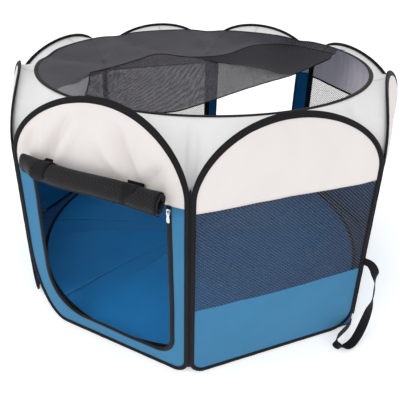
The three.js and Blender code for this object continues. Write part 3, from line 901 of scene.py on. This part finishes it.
def spline(points, shares):
    """A smooth curve through points, with as much of it between each two."""
    p = np.array(points, float)
    p = np.vstack([2 * p[0] - p[1], p, 2 * p[-1] - p[-2]])
    place = np.clip(np.asarray(shares, float) * (len(points) - 1), 0, len(points) - 1 - 1e-9)
    i = place.astype(int)
    t = (place - i)[:, None]
    a, b, c, d = p[i], p[i + 1], p[i + 2], p[i + 3]
    return 0.5 * (2 * b + (c - a) * t + (2 * a - 5 * b + 4 * c - d) * t**2 + (3 * b - a - 3 * c + d) * t**3)


# Lines of the opened cover, evenly spaced along its zipped edge from the left front to the right back
COVER_FOLD = np.array([
    (-246, -213, 562), (-239, -123, 556), (-230, -11, 553), (-206, 93, 555), (-102, 125, 550),
    (-15, 212, 550), (32, 368, 556), (137, 434, 558), (323, 299, 574),
]) / 1000
COVER_HEM = np.array([
    (-204, -292, 530), (-194, -231, 490), (-113, -200, 470), (-19, -169, 470), (43, -85, 480), (89, 25, 485),
    (149, 130, 495), (220, 224, 510), (314, 267, 560),
]) / 1000
BELLY_HEM = np.array([
    (-82, 128, 548), (5, 158, 536), (112, 190, 523), (213, 209, 513), (319, 272, 566),
]) / 1000
# The cover's parts, one by each wall that it hangs from: from and to, in degrees
COVER_PARTS = {
    8: (-24, -67.5), 7: (-67.5, -112.5), 6: (-112.5, -157.5), 5: (-157.5, -202.5), 4: (-202.5, -226),
}
BELLY_START = -125


def cover_share(azimuth):
    return (azimuth - COVER_START) / (COVER_END - COVER_START)


def cover_top(azimuth):
    """The layer from the zip in to the fold."""
    edge = polar(RING - 0.004, azimuth, ring_height(azimuth) + 0.001)
    fold = spline(COVER_FOLD, cover_share(azimuth))
    flat = np.linspace(0, 1, 20)
    top = edge[:, None] * (1 - flat)[None, :, None] + fold[:, None] * flat[None, :, None]
    top[..., 2] -= 0.010 * np.sin(np.pi * flat)[None, :]
    top[..., 2] += 0.0045 * waves(top[..., 0], top[..., 1], 31, 0.13) * np.sin(np.pi * flat)[None, :]
    return top


def cover_curtain(azimuth):
    """The layer that hangs from the fold, down to its hem."""
    share = cover_share(azimuth)
    hung = np.linspace(0, 1, 22)
    fold, hem = spline(COVER_FOLD, share), spline(COVER_HEM, share)
    drop = fold[:, None] * (1 - hung)[None, :, None] + hem[:, None] * hung[None, :, None]
    drop[..., 2] -= 0.008 * np.sin(np.pi * hung)[None, :]
    gather = 0.004 * waves(share[:, None] * 1.4, hung[None, :] * 0.12, 33, 0.10)
    loose = smooth(hung * 3)[None, :] * smooth((1 - share) * 8)[:, None]
    drop[..., 0] += gather * loose
    drop[..., 2] += 0.6 * gather * loose
    return drop


def cover_belly(azimuth):
    """The slack second layer that hangs in front of the curtain on the right."""
    share = cover_share(azimuth)
    hung = np.linspace(0, 1, 16)
    start = cover_share(math.radians(BELLY_START))
    along = (share - start) / (1 - start)
    low = spline(BELLY_HEM, along)
    fold = spline(COVER_FOLD, share)
    fold[:, 1] -= 0.003
    layer = fold[:, None] * (1 - hung)[None, :, None] + low[:, None] * hung[None, :, None]
    slack = np.sin(np.pi * hung)[None, :] * np.sin(np.pi * np.clip(along, 0, 1))[:, None]
    layer[..., 0] += 0.012 * slack
    layer[..., 1] -= 0.024 * slack
    layer[..., 2] -= 0.012 * slack
    return layer


def cover_corner():
    """The single layer between the zip and the curtain's left edge."""
    azimuth = np.radians(np.linspace(-24, -9, 10))
    rim = polar(RING - 0.004, azimuth, RING_HEIGHT + 0.001)
    edge = cover_curtain(np.array([COVER_START]))[0]
    edge = edge[np.linspace(0, len(edge) - 1, 10).astype(int)]
    shares = np.linspace(0, 1, 14)
    rows = rim[:, None] * (1 - shares)[None, :, None] + edge[:, None] * shares[None, :, None]
    rows[..., 2] -= 0.006 * np.sin(np.pi * shares)[None, :]
    return rows


def piping(name, path, radius):
    """A round cord of cloth along an edge, closed at both ends."""
    ring = np.linspace(0, math.tau, 9)[:-1]
    along = np.gradient(path, axis=0)
    along /= np.linalg.norm(along, axis=1)[:, None]
    side = np.cross(along, [0, 0, 1.0])
    side /= np.linalg.norm(side, axis=1)[:, None]
    up = np.cross(side, along)
    points = path[:, None] + radius * (
        np.cos(ring)[None, :, None] * side[:, None] + np.sin(ring)[None, :, None] * up[:, None]
    )
    faces = grid_faces(len(path), 8, False, True)
    last = (len(path) - 1) * 8
    faces += [tuple(range(8))[::-1], tuple(last + k for k in range(8))]
    return link(name, points.reshape(-1, 3), faces, BINDING)


def cover():
    """The mesh cover, folded half back: a part by each wall it hangs from, and a single layer at the left."""
    for number, ends in COVER_PARTS.items():
        made = []
        azimuth = np.radians(np.linspace(*ends, max(8, int(abs(ends[0] - ends[1]) * 0.8))))
        top, curtain = cover_top(azimuth), cover_curtain(azimuth)
        sheets = [(f"cover_{number}", top, COVER, 0.30), (f"cover_curtain_{number}", curtain, CURTAIN, 0.20)]
        if number in (4, 5, 6):
            part = np.radians(np.linspace(min(ends[0], BELLY_START), ends[1], len(azimuth)))
            sheets.append((f"cover_belly_{number}", cover_belly(part), BELLY_DOUBLED_AND_SHADED, 0.10))
        for name, rows, stuff, width in sheets:
            piece = grid(name, rows, stuff)
            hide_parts("mesh_cover")
            made.append(piece)
        made.append(piping(f"cover_hem_{number}", curtain[:, -1], 0.0018))
        made.append(piping(f"cover_crease_{number}", top[:, -1], 0.0016))
        for each in made:
            flatten(each, number, APOTHEM - 0.006, height=0.57)
    corner = grid("cover_corner", cover_corner(), SHEER)
    side = piping("cover_corner_hem", cover_curtain(np.array([COVER_START]))[0], 0.0016)
    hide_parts("mesh_cover")
    for each in (corner, side):
        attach(each, "wall_1")
        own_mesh(each)


cover()


# ---------------------------------------------------------------- floor

CREASE_CENTRE = np.array([0.010, -0.050])
CREASES = np.radians([-63, -13, 33, 83, 119, 178, -134, -98])
# The round tape on the floor, from one edge to the other: so far across, and so high
FLOOR_TAPE_SECTION = [
    (-0.0048, 0.0012), (-0.0044, 0.0028), (0.0, 0.0034), (0.0044, 0.0028), (0.0048, 0.0012),
]
# Where the floor's border is cut off at a wall's two corners, from the middle of the pen
BORDER_CORNERS = {1: (0.532, 0.556), 2: (0.556, 0.600), 8: (0.600, 0.532)}
WHOLE_CORNERS = (0.600, 0.600)


def floor_height(x, y):
    """Soft rises and sharp creases that run out from a point near the middle."""
    radius = np.hypot(x, y)
    dx, dy = x - CREASE_CENTRE[0], y - CREASE_CENTRE[1]
    azimuth, away = np.arctan2(dx, -dy), np.hypot(dx, dy)
    nearest = np.min(np.abs((azimuth[..., None] - CREASES + math.pi) % math.tau - math.pi), axis=-1)
    held = smooth((0.49 - radius) / 0.16)
    tent = 0.0085 * np.clip(1 - nearest / 0.36, 0, 1) * smooth(away / 0.25)
    sharp = 0.0042 * np.exp(-((nearest * away / 0.006) ** 2)) * smooth(away / 0.05)
    return 0.0013 + held * (tent + sharp + 0.0016 * (1 + waves(x, y, 44, 0.22)))


def floor():
    """The floor in eight sectors, each with its panel, its round tape and the border outside that."""
    turn = np.linspace(-STEP / 2, STEP / 2, 33)
    for number in WALLS:
        middle = (number - 1) * STEP
        azimuth = turn + middle
        corner = BORDER_CORNERS.get(number, WHOLE_CORNERS)
        edge = np.minimum((APOTHEM - 0.0016) / np.cos(turn), np.where(turn < 0, *corner))
        shares = np.concatenate([[0.002], np.linspace(0.03, 1, 54)])
        radius = np.tile(shares * FLOOR_RING, (len(turn), 1))
        x, y = radius * np.sin(azimuth)[:, None], -radius * np.cos(azimuth)[:, None]
        panel = grid(f"floor_{number}", np.stack([x, y, floor_height(x, y)], -1), FLOOR)
        out = np.linspace(0, 1, 9)
        radius = FLOOR_RING * (1 - out)[None, :] + edge[:, None] * out[None, :]
        x, y = radius * np.sin(azimuth)[:, None], -radius * np.cos(azimuth)[:, None]
        lift = 0.0013 + 0.0012 * (1 + waves(x, y, 46, 0.08)) * np.sin(np.pi * out)[None, :]
        border = grid(f"floor_border_{number}", np.stack([x, y, lift], -1), BORDER)
        tape_rows = [polar(FLOOR_RING + across, azimuth, z) for across, z in FLOOR_TAPE_SECTION]
        tape = grid(f"floor_tape_{number}", np.stack(tape_rows, 1), BINDING)
        thicken(panel, 0.0011, offset=-1 if panel.data.polygons[0].normal.z > 0 else 1)
        thicken(border, 0.0011, offset=-1 if border.data.polygons[0].normal.z > 0 else 1)
        for piece, replaced, slot in (
            (panel, "floor_panel", "floor_fabric"),
            (border, "floor_border", "floor_fabric"),
            (tape, "floor_binding", "binding"),
        ):
            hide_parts(replaced)
        for piece in (panel, border, tape):
            flatten(piece, number, APOTHEM)


floor()


# ---------------------------------------------------------------- closing strap

# The strap's route from its corner seam: places in millimetres (out, aside, up), and how its width lies
STRAP = [
    ((1, 0, 203), (0, 0, 1)), ((17, 3, 201), (-0.1, 0.1, 1)), ((28, 6, 185), (0.3, 0.5, 0.7)),
    ((34, 7, 156), (-0.4, 0.9, 0.1)), ((37, 4, 118), (-0.4, 0.9, 0)), ((37, -4, 78), (0.5, 0.9, 0.1)),
    ((37, -18, 45), (0.8, 0.6, 0.2)), ((37, -40, 20), (1, 0.3, 0.25)), ((35, -64, 9), (1, 0.2, 0.1)),
    ((27, -87, 9), (0.9, 0.5, 0.25)), ((13, -95, 14), (0.5, 0.3, 0.8)), ((7, -82, 19), (0.1, 0, 1)),
    ((6, -56, 19), (0, 0, 1)), ((6, -30, 19), (0, 0, 1)), ((3, -9, 18), (0, 0, 1)),
]


def strap():
    """The webbing loop that hangs at the right front corner."""
    azimuth = seam_azimuth(2)
    out, side = polar(1.0, azimuth, 0.0), np.array([math.cos(azimuth), math.sin(azimuth), 0])
    axes = np.array([out, side, (0, 0, 1)])
    places = np.array([at for at, _ in STRAP]) / 1000 @ axes + polar(RADIUS, azimuth, 0.0)
    widths = np.array([wide for _, wide in STRAP], float) @ axes
    shares = np.linspace(0, 1, 110)
    path, wide = spline(places, shares), spline(widths, shares)
    along = np.gradient(path, axis=0)
    along /= np.linalg.norm(along, axis=1)[:, None]
    wide -= (wide * along).sum(1)[:, None] * along
    wide /= np.linalg.norm(wide, axis=1)[:, None]
    across = np.linspace(-0.01, 0.01, 7)
    points = path[:, None] + across[None, :, None] * wide[:, None]
    piece = thicken(grid("strap", points, WEBBING), 0.0014)
    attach(piece, "closing_strap")
    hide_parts("closing_strap")


strap()


# ---------------------------------------------------------------- stage and light

def stage():
    """A white ground and a white room, with a strong lamp on the left and a weaker one on the right."""
    made, add = material("stage_white")
    coordinate, _ = axes_of(add)
    shader = add(
        "ShaderNodeBsdfPrincipled",
        {
            "Base Color": mottled(add, coordinate, (0.93, 0.93, 0.93), 0.004, 3.0),
            "Roughness": 0.9,
            "Specular IOR Level": 0.1,
            "Emission Color": (1.0, 1.0, 1.0, 1.0),
            "Emission Strength": 0.36,
        },
    )
    add("ShaderNodeOutputMaterial", {0: shader.outputs[0]})
    size = 60.0
    corners = [(x * size, y * size, -0.0012) for x, y in ((-1, -1), (1, -1), (1, 1), (-1, 1))]
    ground = link("ground", corners, [(0, 1, 2, 3)], made)
    world = bpy.data.worlds.new("studio")
    scene.world = world
    world.use_nodes = True
    world.node_tree.nodes["Background"].inputs[0].default_value = (1.0, 1.0, 1.0, 1.0)
    world.node_tree.nodes["Background"].inputs[1].default_value = 0.80
    for name, place, size, energy in (
        ("key", (-1.6, -3.2, 3.4), 2.6, 46.0),
        ("fill", (3.0, -1.6, 2.6), 2.6, 18.0),
    ):
        data = bpy.data.lights.new(name, "AREA")
        data.size = size
        data.energy = energy
        lamp = bpy.data.objects.new(name, data)
        lamp.location = place
        lamp.rotation_euler = (Vector((0, 0, 0.3)) - Vector(place)).to_track_quat("-Z", "Y").to_euler()
        scene.collection.objects.link(lamp)


stage()
